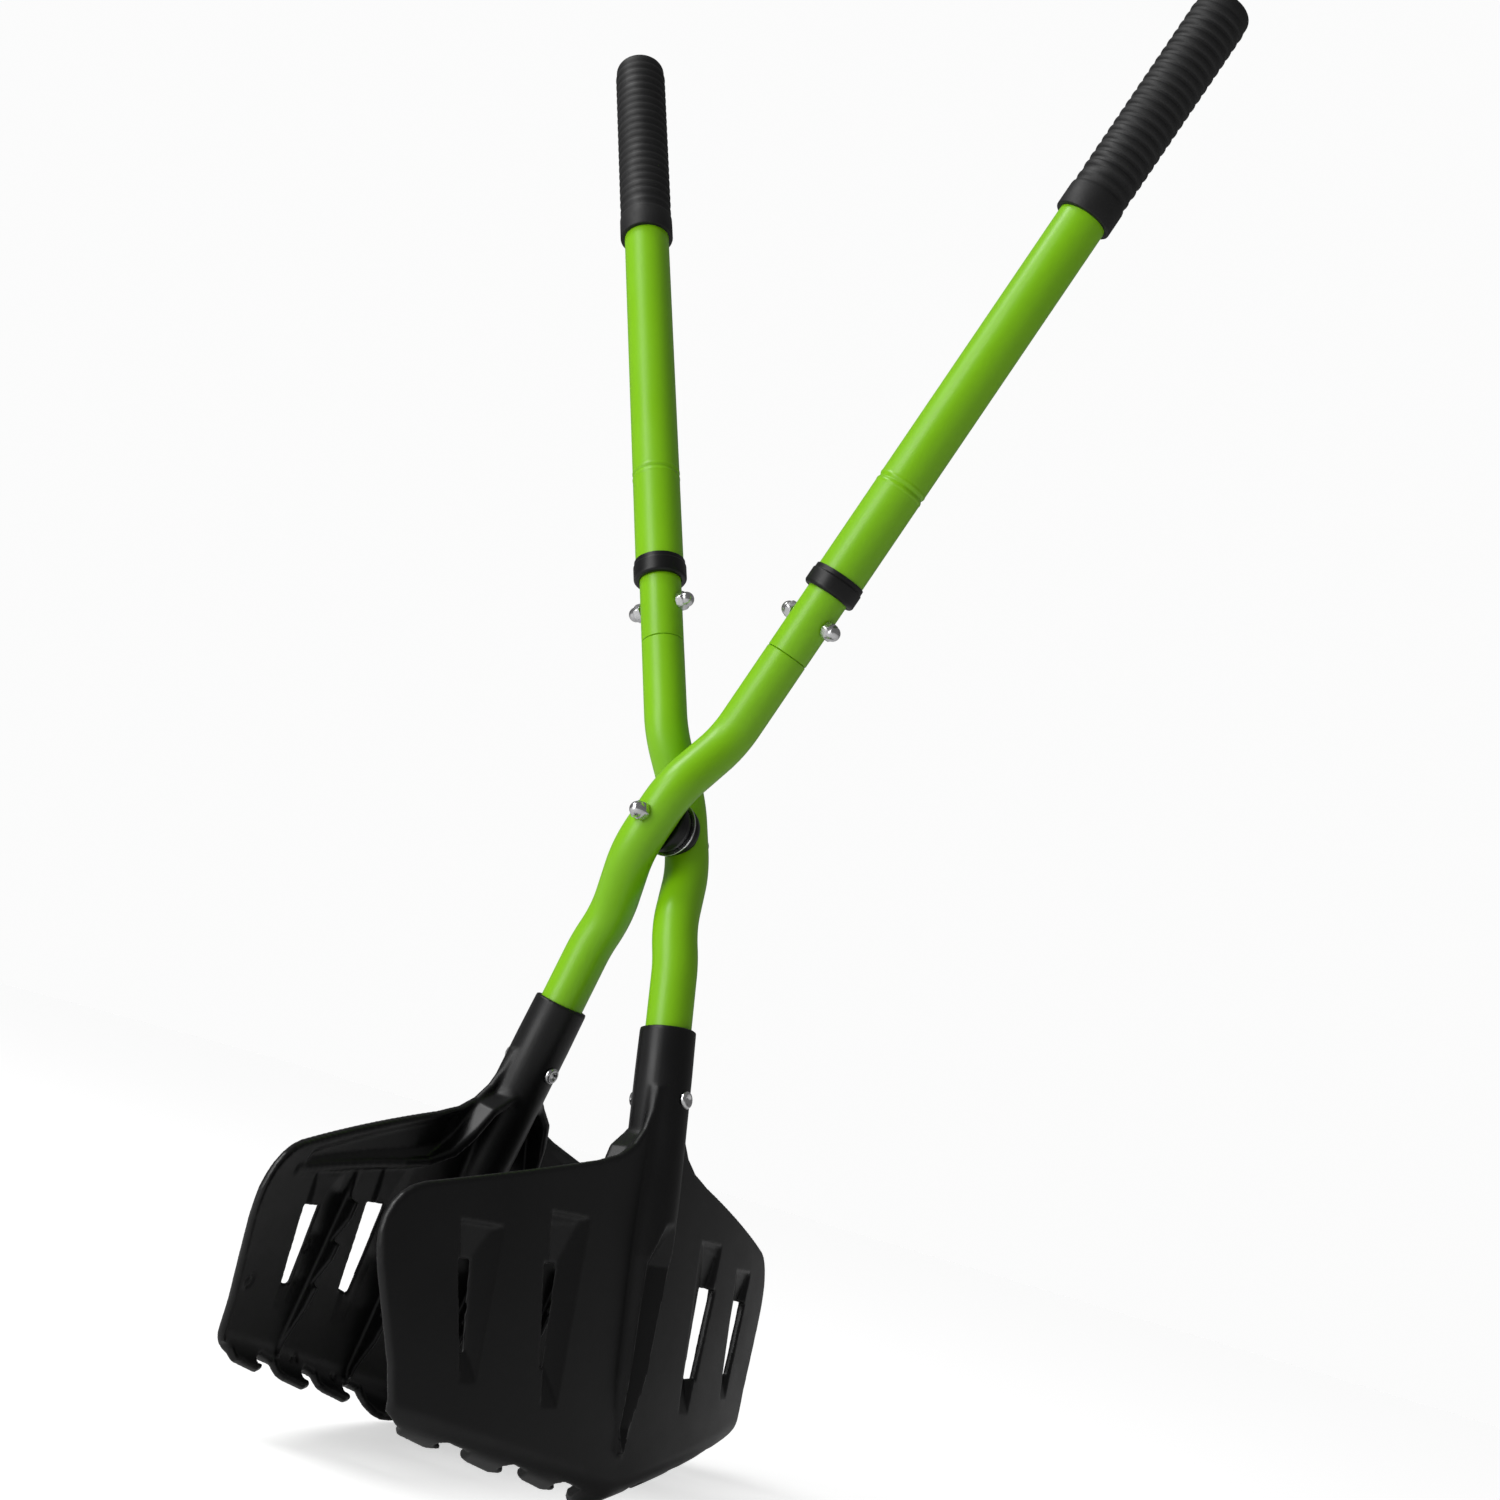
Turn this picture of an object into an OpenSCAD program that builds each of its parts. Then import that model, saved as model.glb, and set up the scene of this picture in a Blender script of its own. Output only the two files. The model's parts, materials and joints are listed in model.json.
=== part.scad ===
// Long-handled pair of leaf grabbing hands: two crossed tube arms on one pivot,
// each with a ribbed grip at the top and a toothed, slotted scoop at the bottom.
// The arms are alike. One is the other turned half round about the vertical.
// Z is up, the pivot axis lies along Y, and the scoops stand on their middle teeth.

/* [Arms] */
// Height of the pivot above the scoops' lowest teeth
pivot_height = 348.88; // [330:0.01:360]
// Lean of each arm from the vertical at the pivot
arm_lean = 21.5; // [18:0.5:26]
// In-plane bend below the pivot that turns the socket more upright
lower_bend = 9.5; // [5:0.5:14]
// Distance from the pivot plane to each tube's middle at the pivot
tube_offset = 18; // [17:0.5:20]
// Radius of the side bends that bring the tubes back to the middle plane
side_bend_r = 55; // [50:1:70]
// Angle of each side bend
side_bend_angle = 25; // [20:1:28]
// Half length of the straight stretch at the pivot
pivot_straight = 8; // [6:1:12]
// Radius of the in-plane bend
lower_bend_r = 90; // [75:1:110]

/* [Tubes] */
// Outer diameter of the lower tube and of the joiner
lower_d = 25; // [24:0.5:26]
// Outer diameter of the upper tube
upper_d = 29; // [28.5:0.5:30]
// Wall of every tube
tube_wall = 1.2; // [1:0.1:1.5]
// Distance along the arm from the pivot to the top of the wide lower tube
joint_line = 117; // [105:1:125]
// Distance along the arm from the pivot to the joint bolt
joint_bolt_at = 141; // [136:1:145]
// Distance along the arm from the pivot to the middle of the collar
collar_at = 164.5; // [160:0.5:175]
// Height of the collar
collar_h = 13; // [10:1:18]
// Distance along the arm from the pivot to the rolled ring
ring_at = 231.5; // [210:0.5:250]
// Distance along the arm from the pivot to the tip of the grip
arm_top = 563; // [520:1:600]

/* [Grip] */
// Length of the grip
grip_length = 148; // [120:1:170]
// Outer diameter of the grip between its ribs
grip_d = 32.4; // [32:0.1:34]
// Diameter over the ribs
rib_d = 33.6; // [33:0.1:36]
// Number of ribs
rib_count = 19; // [10:1:22]

/* [Scoop] */
// Distance from the in-plane bend to the top of the socket
socket_top = 37; // [30:1:45]
// Outer diameter of the socket
socket_d = 31; // [30:0.5:34]
// Distance from the in-plane bend to the rivet
rivet_at = 74.5; // [60:0.5:80]
// Thickness of the moulded plate
plate_t = 4.4; // [3.5:0.1:5]
// Radius of the plate's sideways cup
cup_r = 640; // [560:10:800]
// Radius of the curled lower lip
lip_r = 46; // [42:1:56]
// Distance from the in-plane bend to the start of the curled lip
lip_at = 230; // [225:1:234]
// Backward tilt of the plate against the socket
plate_tilt = 3.4; // [2:0.2:5]
// Half width of the plate at its upper corners
top_half_w = 182; // [170:1:190]
// Half width of the plate at its lower corners
low_half_w = 152; // [140:1:160]
// Height of the fins on the inner face
fin_h = 11; // [8:1:14]

/* [Fasteners] */
// Shank diameter of the pivot bolt and the joint bolts
bolt_d = 6; // [5.8:0.1:6]
// Width across the flats of the dome nuts
nut_af = 10; // [9:0.5:11]
// Diameter of the rivets that hold the scoops
rivet_d = 5; // [4:0.5:6]

/* [Hidden] */

eps = 0.01;
fit = 0.05;                     // radial clearance of a fitted tube, rivet or bolt
cut = 60;                       // reach of a through cut
bore_d = bolt_d + 2 * fit;
lower_bore = lower_d - 2 * tube_wall;
upper_bore = upper_d - 2 * tube_wall;
spigot_d = lower_bore - 2 * fit;
spigot_bore = spigot_d - 2 * tube_wall;
spigot_top = collar_at - 2;
joiner_top = ring_at + 6;
upper_start = collar_at - collar_h / 2 + 3;
upper_end = arm_top - 5;        // top end of the upper tube, inside the grip
ring_depth = 0.5;
washer_t = 1;
saddle_d = 31;
seat_gap = 0.65;                // play between a saddle and the straight of its tube
side_shift = 2 * side_bend_r * (1 - cos(side_bend_angle));
side_straight = (tube_offset - side_shift) / sin(side_bend_angle);
side_rise = 2 * side_bend_r * sin(side_bend_angle)
          + side_straight * cos(side_bend_angle);
bend_top = pivot_straight + side_rise;        // where the tube is back in the middle
bend_tangent = lower_bend_r * tan(lower_bend / 2);
tube_end = 100;                 // lower end of the lower tube, from the in-plane bend
low_corner_y = 240;             // lower edge of the plate at its corners
low_tip_y = 268;                // lower edge of the plate at its middle
plate_shift = 10;               // outward shift of the tilted plate
nut_gap = 0.3;                  // play between the pivot nut and the rear tube
green = [0.46, 0.78, 0.06];
black = [0.09, 0.09, 0.10];
steel = [0.80, 0.80, 0.82];

// ---------- places on an arm ----------

// The rear arm is drawn as it stands and the front arm is turned half round.
module on_arm(side) {
    translate([0, 0, pivot_height])
        rotate([0, 0, side == "front" ? 180 : 0])
            children();
}

// Frame of the straight stretch at the pivot: z runs up the tube, x faces outwards.
module at_pivot() {
    translate([0, tube_offset, 0]) rotate([0, -arm_lean, 0]) children();
}

// Frame of the straight upper arm, at a distance s from the pivot.
module up_arm(s) {
    rotate([0, -arm_lean, 0]) translate([0, 0, s]) children();
}

// Frame at the in-plane bend's corner: z runs down the lower tube, x faces outwards.
module down_arm() {
    rotate([0, -arm_lean, 0])
        translate([0, 0, -(bend_top + bend_tangent)])
            rotate([0, lower_bend, 0])
                rotate([180, 0, 0])
                    children();
}

// ---------- tube making ----------

// A hair-thin bead where two stretches of a rod meet, as a tube bender leaves.
module bead(d) {
    translate([0, 0, -0.6]) cylinder(h = 1.2, d = d + 0.04, $fn = 48);
}

// A straight rod along z, then the children at its end.
module run(length, d) {
    bead(d);
    cylinder(h = length, d = d, $fn = 48);
    translate([0, 0, length]) children();
}

// A bent rod that turns from z towards -y, itself turned by heading about z.
module bend(heading, radius, angle, d) {
    bead(d);
    rotate([0, 0, heading]) {
        translate([0, -radius, 0])
            rotate([90, 0, 90])
                rotate_extrude(angle = angle, $fn = 96)
                    translate([radius, 0]) circle(d = d, $fn = 48);
        translate([0, radius * (cos(angle) - 1), radius * sin(angle)])
            rotate([angle, 0, 0])
                rotate([0, 0, -heading])
                    children();
    }
}

// A bent rod that turns from z towards -x.
module inward_bend(radius, angle, d) {
    bead(d);
    translate([-radius, 0, 0])
        rotate([90, 0, 0])
            rotate_extrude(angle = angle, $fn = 96)
                translate([radius, 0]) circle(d = d, $fn = 48);
    translate([radius * (cos(angle) - 1), 0, radius * sin(angle)])
        rotate([0, -angle, 0])
            children();
}

// The pair of side bends that carries a rod back to the middle plane.
module side_bends(heading, d) {
    bend(heading, side_bend_r, side_bend_angle, d)
        run(side_straight, d)
            bend(heading + 180, side_bend_r, side_bend_angle, d)
                children();
}

// The bent lower tube as a solid rod, with both ends longer by extra.
module lower_path(d, extra = 0) {
    at_pivot() {
        translate([0, 0, -pivot_straight])
            run(2 * pivot_straight, d)
                side_bends(0, d)
                    run(joint_line - bend_top + extra, d);
        translate([0, 0, -pivot_straight])
            rotate([180, 0, 0])
                side_bends(180, d)
                    inward_bend(lower_bend_r, lower_bend, d)
                        run(tube_end - bend_tangent + extra, d);
    }
}

// ---------- fasteners ----------

// A hexagon with a domed top, standing on z = 0.
module dome_hex() {
    hex_h = 4.6;
    intersection() {
        cylinder(h = hex_h, d = nut_af / cos(30), $fn = 6);
        cylinder(h = hex_h, d1 = nut_af / cos(30) + 3, d2 = nut_af + 0.4, $fn = 64);
    }
    intersection() {
        translate([0, 0, hex_h]) sphere(d = nut_af - 0.8, $fn = 64);
        translate([0, 0, hex_h - 0.5]) cylinder(h = 8, d = nut_af, $fn = 64);
    }
}

// A dome-headed bolt along -z from its head at z = 0.
module dome_bolt(grip) {
    dome_hex();
    translate([0, 0, -grip - 5]) cylinder(h = grip + 5 + eps, d = bolt_d, $fn = 48);
}

// A dome nut that stands on z = 0, with a blind hole for the bolt's end.
module dome_nut() {
    difference() {
        dome_hex();
        translate([0, 0, -1]) cylinder(h = 6.2, d = bore_d, $fn = 48);
    }
}

// ---------- sub-parts of one arm ----------

module grip(side) {
    pitch = (grip_length - 34) / rib_count;
    wall_d = upper_d + 2 * fit;
    color(black)
    on_arm(side) up_arm(arm_top - grip_length)
        rotate_extrude($fn = 96)
            difference() {
                union() {
                    square([grip_d / 2, grip_length - 6]);
                    // plain bell at the lower end
                    square([rib_d / 2 + 0.4, 16]);
                    translate([0, 19]) square([rib_d / 2 - 0.1, 3.5]);
                    // ribs
                    for (i = [0 : rib_count - 1])
                        translate([grip_d / 2 - 0.4, 26 + i * pitch])
                            square([(rib_d - grip_d) / 2 + 0.4, pitch * 0.62]);
                    // rounded closed end
                    intersection() {
                        translate([0, grip_length - 6])
                            square([grip_d / 2, 6]);
                        union() {
                            square([grip_d / 2 - 6, grip_length]);
                            translate([grip_d / 2 - 6, grip_length - 6])
                                circle(r = 6, $fn = 64);
                        }
                    }
                }
                translate([-eps, -1])
                    square([wall_d / 2 + eps, grip_length - 5 + 1 + fit]);
            }
}

module upper_tube(side) {
    color(green)
    on_arm(side) up_arm(upper_start)
        difference() {
            cylinder(h = upper_end - upper_start, d = upper_d, $fn = 96);
            translate([0, 0, -1])
                cylinder(h = upper_end - upper_start + 2, d = upper_bore, $fn = 96);
            // groove of the rolled ring
            translate([0, 0, ring_at - upper_start])
                rotate_extrude($fn = 96)
                    translate([upper_d / 2 + 1.5 - ring_depth, 0])
                        circle(r = 1.5, $fn = 32);
        }
    // inner side of the rolled ring, which bears on the joiner
    color(green)
    on_arm(side) up_arm(ring_at - 1.5)
        difference() {
            cylinder(h = 3, d = upper_bore + 0.4, $fn = 96);
            translate([0, 0, -1]) cylinder(h = 5, d = lower_d + 2 * fit, $fn = 96);
        }
}

module collar(side) {
    color(black)
    on_arm(side) up_arm(collar_at - collar_h / 2)
        rotate_extrude($fn = 96)
            difference() {
                union() {
                    translate([0, 1]) square([upper_d / 2 + 1.6, collar_h - 2]);
                    square([upper_d / 2 + 0.6, collar_h]);
                }
                translate([-eps, -1]) square([lower_d / 2 + fit, collar_h + 2]);
                translate([-eps, 3]) square([upper_d / 2 + fit, collar_h]);
            }
}

module joiner_tube(side) {
    color(green)
    on_arm(side)
        difference() {
            up_arm(joint_line + fit)
                difference() {
                    cylinder(h = joiner_top - joint_line, d = lower_d, $fn = 96);
                    translate([0, 0, -1])
                        cylinder(h = joiner_top, d = lower_bore, $fn = 96);
                }
            joint_bore();
        }
}

module joint_bore() {
    up_arm(joint_bolt_at)
        rotate([0, 90, 0])
            translate([0, 0, -cut / 2]) cylinder(h = cut, d = bore_d, $fn = 48);
}

module joint_bolt(side) {
    color(steel)
    on_arm(side) up_arm(joint_bolt_at)
        rotate([0, 90, 0]) translate([0, 0, lower_d / 2]) dome_bolt(lower_d);
}

module joint_nut(side) {
    color(steel)
    on_arm(side) up_arm(joint_bolt_at)
        rotate([0, -90, 0]) translate([0, 0, lower_d / 2]) dome_nut();
}

module pivot_bore() {
    rotate([90, 0, 0])
        translate([0, 0, -cut]) cylinder(h = 2 * cut, d = bore_d, $fn = 48);
}

module lower_tube(side) {
    color(green)
    on_arm(side)
        difference() {
            union() {
                difference() {
                    lower_path(lower_d);
                    lower_path(spigot_bore, 1);
                }
                // necked spigot that goes up inside the joiner
                up_arm(joint_line - 3)
                    difference() {
                        cylinder(h = spigot_top - joint_line + 3, d = spigot_d, $fn = 48);
                        translate([0, 0, -1])
                            cylinder(h = spigot_top, d = spigot_bore, $fn = 48);
                    }
            }
            joint_bore();
            pivot_bore();
            down_arm() rivet_hole();
        }
}

module saddle(side) {
    color(black)
    on_arm(side)
        difference() {
            // round about the pivot, widest at half its height
            translate([0, washer_t / 2 + fit, 0])
                rotate([-90, 0, 0])
                    rotate_extrude($fn = 96)
                        polygon([
                            [0, 0], [saddle_d / 2 - 1.5, 0], [saddle_d / 2, 5],
                            [saddle_d / 2 - 2.5, 9.5], [0, 9.5]]);
            // round seat, wide enough for the start of the side bends
            at_pivot()
                translate([0, 0, -saddle_d])
                    cylinder(h = 2 * saddle_d, d = lower_d + 2 * seat_gap, $fn = 96);
            pivot_bore();
        }
}

module rivet_hole() {
    translate([0, 0, rivet_at]) rotate([0, 90, 0])
        translate([0, 0, -cut / 2]) cylinder(h = cut, d = rivet_d + 2 * fit, $fn = 48);
}

module scoop_rivet(side) {
    head_d = 9.5;
    head_h = 2.2;
    color(steel)
    on_arm(side) down_arm()
        translate([0, 0, rivet_at]) rotate([0, 90, 0])
            difference() {
                union() {
                    translate([0, 0, -socket_d / 2 - 1])
                        cylinder(h = socket_d + 2, d = rivet_d, $fn = 48);
                    for (end = [0, 1]) mirror([0, 0, end])
                        translate([0, 0, socket_d / 2 + eps])
                            cylinder(h = head_h, d1 = head_d, d2 = head_d - 3, $fn = 64);
                }
                // dimples in the heads
                for (end = [0, 1]) mirror([0, 0, end])
                    translate([0, 0, socket_d / 2 + head_h - 1.2])
                        cylinder(h = 2, d = 3.2, $fn = 48);
            }
}

// ---------- the scoop ----------

// Side view of the plate at the cup's radius: straight, then the lip curled inwards.
module plate_profile() {
    plate_start = 60;
    translate([cup_r - plate_t, plate_start]) square([plate_t, lip_at - plate_start]);
    intersection() {
        translate([cup_r - lip_r, lip_at]) difference() {
            circle(r = lip_r, $fn = 180);
            circle(r = lip_r - plate_t, $fn = 180);
        }
        translate([cup_r - lip_r + 4, lip_at]) square([lip_r, lip_r + 1]);
    }
}

// The cupped plate before it is cut to its outline, revolved about the cup's axis.
module cupped_plate() {
    span = 36;
    translate([-cup_r + plate_t / 2, 0, 0])
        rotate([0, 0, -span / 2])
            rotate_extrude(angle = span, $fn = 720)
                plate_profile();
}

// Things set square to the cupped plate at a distance a from its middle line.
module around_cup(a) {
    translate([-cup_r + plate_t / 2, 0, 0])
        rotate([0, 0, asin(a / cup_r)])
            translate([cup_r - plate_t / 2, 0, 0])
                children();
}

// Outline of one half of the plate: x is the distance from the middle line and y
// the distance down the socket axis. Teeth hang below the V of the lower edge.
function low_edge(a) = low_tip_y - (low_tip_y - low_corner_y) * a / low_half_w;
function tooth(from, to, depth) = [
    [from, low_edge(from)],
    [from - 3, low_edge(from) + depth - 2],
    [to + 2, low_edge(to) + depth],
    [to - 2, low_edge(to) + depth - 4],
    [to + 1, low_edge(to) - 0.5]];
module half_outline() {
    polygon(concat(
        [[0, 78], [14, 78], [16.5, 88], [21, 97], [29, 105], [42, 110.5], [54, 113.5],
         [155, 138]],
        [for (i = [0 : 6]) let (b = 76 - i * 15)
            [top_half_w - 27 + 27 * cos(b), 165 - 27 * sin(b)]],
        [[top_half_w - 5.5, 190], [low_half_w + 9, 217]],
        [for (i = [0 : 4]) let (b = -18 - i * 15)
            [low_half_w - 5 + 12 * cos(b), 229 - 12 * sin(b)]],
        tooth(132, 112, 5.5),
        tooth(98, 72, 8),
        tooth(60, 36, 8),
        [[22, low_edge(22)], [17, low_tip_y + 5.5], [0, low_tip_y + 6.5]]));
}

module plate_outline() {
    half_outline();
    mirror([1, 0]) half_outline();
}

// Tapered slot, wide at its top. The inner pair is larger than the outer pair.
module slot_shape(a_top, a_low, from, to, w_top, w_low) {
    polygon([
        [a_top - w_top / 2, from], [a_top + w_top / 2, from],
        [a_low + w_low / 2, to], [a_low - w_low / 2, to]]);
}

module slots_shape() {
    for (side = [0, 1]) mirror([side, 0]) {
        slot_shape(75, 70, 165, 212, 12, 5.5);
        slot_shape(129, 123, 170, 209, 10, 4.5);
    }
}

// Makes a shape drawn across and down the plate into a prism through it.
module through_plate() {
    rotate([0, 90, 0]) rotate([0, 0, 90])
        translate([0, 0, -cut]) linear_extrude(2 * cut) children();
}

// Saw-edged fin that stands on the inner face and follows the lip.
module fin(from, to, turns) {
    rotate([90, 0, 0])
        translate([0, 0, -1.3])
            linear_extrude(2.6)
                difference() {
                    union() {
                        polygon([
                            [-0.5, from], [-fin_h, from + 34], [-fin_h, lip_at],
                            [-0.5, lip_at]]);
                        intersection() {
                            translate([-lip_r + plate_t / 2, lip_at]) difference() {
                                circle(r = lip_r - plate_t + 0.5, $fn = 128);
                                circle(r = lip_r - plate_t - fin_h + 2, $fn = 128);
                            }
                            polygon([
                                [-lip_r, lip_at], [1, lip_at],
                                [1 - (to - lip_at) * 0.25, to],
                                [-fin_h - 6, to - 8]]);
                        }
                    }
                    // notches in the saw edge
                    for (i = [1 : 3])
                        translate([-fin_h, from + 12 + i * turns])
                            polygon([[-1, -1], [3.4, 0], [4.2, 3.2], [-1, 9]]);
                }
}

module scoop(side) {
    color(black)
    on_arm(side) down_arm()
        difference() {
            union() {
                rotate([0, -plate_tilt, 0])
                    translate([plate_shift, 0, 0]) {
                        difference() {
                            intersection() {
                                cupped_plate();
                                through_plate() plate_outline();
                            }
                            through_plate() slots_shape();
                        }
                        for (a = [-98, -36, 36, 98])
                            around_cup(a)
                                fin(162, abs(a) > 50 ? 252 : 258, 22);
                    }
                // socket, fading into a tapered ridge down the plate
                translate([0, 0, socket_top])
                    cylinder(h = 85, d = socket_d, $fn = 96);
                translate([0, 0, socket_top + 85])
                    cylinder(h = 105, d1 = socket_d, d2 = 5, $fn = 96);
            }
            translate([0, 0, socket_top - 1])
                cylinder(h = tube_end - socket_top + 1 + fit, d = lower_d + 2 * fit, $fn = 96);
            rivet_hole();
        }
}

// ---------- pivot ----------

module pivot_bolt() {
    color(steel)
    translate([0, 0, pivot_height])
        rotate([90, 0, 0])
            translate([0, 0, tube_offset + lower_d / 2])
                dome_bolt(2 * tube_offset + lower_d);
}

module pivot_nut() {
    color(steel)
    translate([0, tube_offset + lower_d / 2 + nut_gap, pivot_height])
        rotate([-90, 0, 0]) dome_nut();
}

module pivot_washer() {
    color(steel)
    translate([0, washer_t / 2, pivot_height])
        rotate([90, 0, 0])
            difference() {
                cylinder(h = washer_t, d = saddle_d + 2, $fn = 96);
                translate([0, 0, -1]) cylinder(h = washer_t + 2, d = bore_d, $fn = 48);
            }
}

grip("front");  // front_grip
upper_tube("front");  // front_upper_tube
collar("front");  // front_collar
joiner_tube("front");  // front_joiner_tube
joint_bolt("front");  // front_joint_bolt
joint_nut("front");  // front_joint_nut
lower_tube("front");  // front_lower_tube
scoop("front");  // front_scoop
scoop_rivet("front");  // front_scoop_rivet
saddle("front");  // front_saddle
grip("rear");  // rear_grip
upper_tube("rear");  // rear_upper_tube
collar("rear");  // rear_collar
joiner_tube("rear");  // rear_joiner_tube
joint_bolt("rear");  // rear_joint_bolt
joint_nut("rear");  // rear_joint_nut
lower_tube("rear");  // rear_lower_tube
scoop("rear");  // rear_scoop
scoop_rivet("rear");  // rear_scoop_rivet
saddle("rear");  // rear_saddle
pivot_bolt();
pivot_nut();
pivot_washer();
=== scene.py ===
"""Looks of the leaf grabber hands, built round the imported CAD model."""

import json
import math

import bpy
import numpy as np
import openvdb
from mathutils import Matrix, Vector


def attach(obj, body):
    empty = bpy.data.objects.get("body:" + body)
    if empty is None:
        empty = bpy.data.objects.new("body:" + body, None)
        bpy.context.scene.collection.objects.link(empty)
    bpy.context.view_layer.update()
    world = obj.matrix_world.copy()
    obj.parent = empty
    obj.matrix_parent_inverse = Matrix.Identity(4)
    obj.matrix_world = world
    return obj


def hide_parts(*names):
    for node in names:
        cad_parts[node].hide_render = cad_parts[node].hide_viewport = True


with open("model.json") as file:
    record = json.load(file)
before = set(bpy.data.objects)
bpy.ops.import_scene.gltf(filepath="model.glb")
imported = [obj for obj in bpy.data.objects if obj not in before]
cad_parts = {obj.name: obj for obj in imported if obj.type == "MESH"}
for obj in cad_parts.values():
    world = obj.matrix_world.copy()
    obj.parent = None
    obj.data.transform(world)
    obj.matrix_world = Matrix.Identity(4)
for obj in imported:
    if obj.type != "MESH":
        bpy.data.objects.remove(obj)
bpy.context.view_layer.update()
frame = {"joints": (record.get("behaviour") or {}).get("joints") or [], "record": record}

MM = 0.001

# ---------- the frame's own dimensions, in millimetres ----------

PIVOT_H = frame["joints"][0]["pos_m"][2] / MM
MOUNTS = {m["name"]: m for m in frame["record"]["mounts"]}
LEAN = math.degrees(math.atan2(-MOUNTS["rear_grip_bell"]["axis"][0], MOUNTS["rear_grip_bell"]["axis"][2]))

TUBE_OFFSET = 18       # pivot plane to the tube's middle at the pivot
PIVOT_STRAIGHT = 8     # half the straight stretch at the pivot
SIDE_BEND_R = 55
SIDE_BEND = 25
LOWER_BEND_R = 90
LOWER_BEND = 9.5
LOWER_D = 25
UPPER_D = 29
TUBE_WALL = 1.2
JOINT_LINE = 117       # distances along the arm from the pivot
JOINT_BOLT_AT = 141
COLLAR_AT = 164.5
COLLAR_H = 13
RING_AT = 231.5
ARM_TOP = 563
GRIP_LENGTH = 148
GRIP_D = 32.4
RIB_D = 33.6
RIB_COUNT = 19
SOCKET_TOP = 37        # distances down from the in-plane bend
RIVET_AT = 74.5
TUBE_END = 100
SOCKET_D = 31
NUT_AF = 10
SADDLE_D = 31
WASHER_T = 1
NUT_GAP = 0.3
PLATE_T = 4.4
CUP_R = 640
PLATE_TILT = 3.4
PLATE_SHIFT = 10

SIDE_SHIFT = 2 * SIDE_BEND_R * (1 - math.cos(math.radians(SIDE_BEND)))
SIDE_STRAIGHT = (TUBE_OFFSET - SIDE_SHIFT) / math.sin(math.radians(SIDE_BEND))
BEND_TOP = (PIVOT_STRAIGHT + 2 * SIDE_BEND_R * math.sin(math.radians(SIDE_BEND))
            + SIDE_STRAIGHT * math.cos(math.radians(SIDE_BEND)))
BEND_TANGENT = LOWER_BEND_R * math.tan(math.radians(LOWER_BEND / 2))

SIDES = ("front", "rear")


def turn(degrees, axis):
    return Matrix.Rotation(math.radians(degrees), 4, axis)


def shift(x, y, z):
    return Matrix.Translation((x, y, z))


def arm(side):
    """Pivot frame of one arm: the front arm is the rear arm turned half round."""
    return shift(0, 0, PIVOT_H) @ turn(180 if side == "front" else 0, "Z") @ turn(-LEAN, "Y")


def up_arm(side, distance):
    return arm(side) @ shift(0, 0, distance)


def down_arm(side):
    """Frame at the in-plane bend's corner: z runs down the socket, x faces outwards."""
    return arm(side) @ shift(0, 0, -(BEND_TOP + BEND_TANGENT)) @ turn(LOWER_BEND, "Y") @ turn(180, "X")


# ---------- camera, light and floor ----------

CAMERA_FROM_PIVOT = Vector((555.4, -804.8, -167.7))
CAMERA_AZIMUTH = 32.8
CAMERA_ELEVATION = -12.9
CAMERA_ROLL = 16.2
SENSOR_WIDTH = 36
LENS = 42.24

BACKDROP_WHITE = 0.97
FILL_LIGHT = 0.20
KEY_LIGHT = 1.3
KEY_ANGLE = 22
KEY_DIRECTION = (0.9, 0.9, -1.3)
SOFTBOX_PLACE = (-0.75, -2.1, 0.8)
SOFTBOX_AIM = (0, 0, 0.4)
SOFTBOX_SIZE = (1.1, 1.8)
SOFTBOX_POWER = 31
FLOOR_REACH = 9
FLOOR_GLOW = 0.55      # what the camera sees added to the floor, to keep it white


def make_camera():
    data = bpy.data.cameras.new("camera")
    data.sensor_width = SENSOR_WIDTH
    data.lens = LENS
    camera = bpy.data.objects.new("camera", data)
    bpy.context.scene.collection.objects.link(camera)
    place = (CAMERA_FROM_PIVOT + Vector((0, 0, PIVOT_H))) * MM
    aim = turn(CAMERA_AZIMUTH, "Z") @ turn(90 - CAMERA_ELEVATION, "X") @ turn(CAMERA_ROLL, "Z")
    camera.matrix_world = Matrix.Translation(place) @ aim
    bpy.context.scene.camera = camera


def make_light(name, data, place, direction):
    light = bpy.data.objects.new(name, data)
    bpy.context.scene.collection.objects.link(light)
    light.location = place
    light.rotation_euler = direction.to_track_quat("-Z", "Y").to_euler()


def make_lights():
    key = bpy.data.lights.new("key", "SUN")
    key.energy = KEY_LIGHT
    key.angle = math.radians(KEY_ANGLE)
    make_light("key", key, (0, 0, 0), Vector(KEY_DIRECTION))
    softbox = bpy.data.lights.new("softbox", "AREA")
    softbox.shape = "RECTANGLE"
    softbox.size, softbox.size_y = SOFTBOX_SIZE
    softbox.energy = SOFTBOX_POWER
    make_light("softbox", softbox, SOFTBOX_PLACE, Vector(SOFTBOX_AIM) - Vector(SOFTBOX_PLACE))


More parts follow.
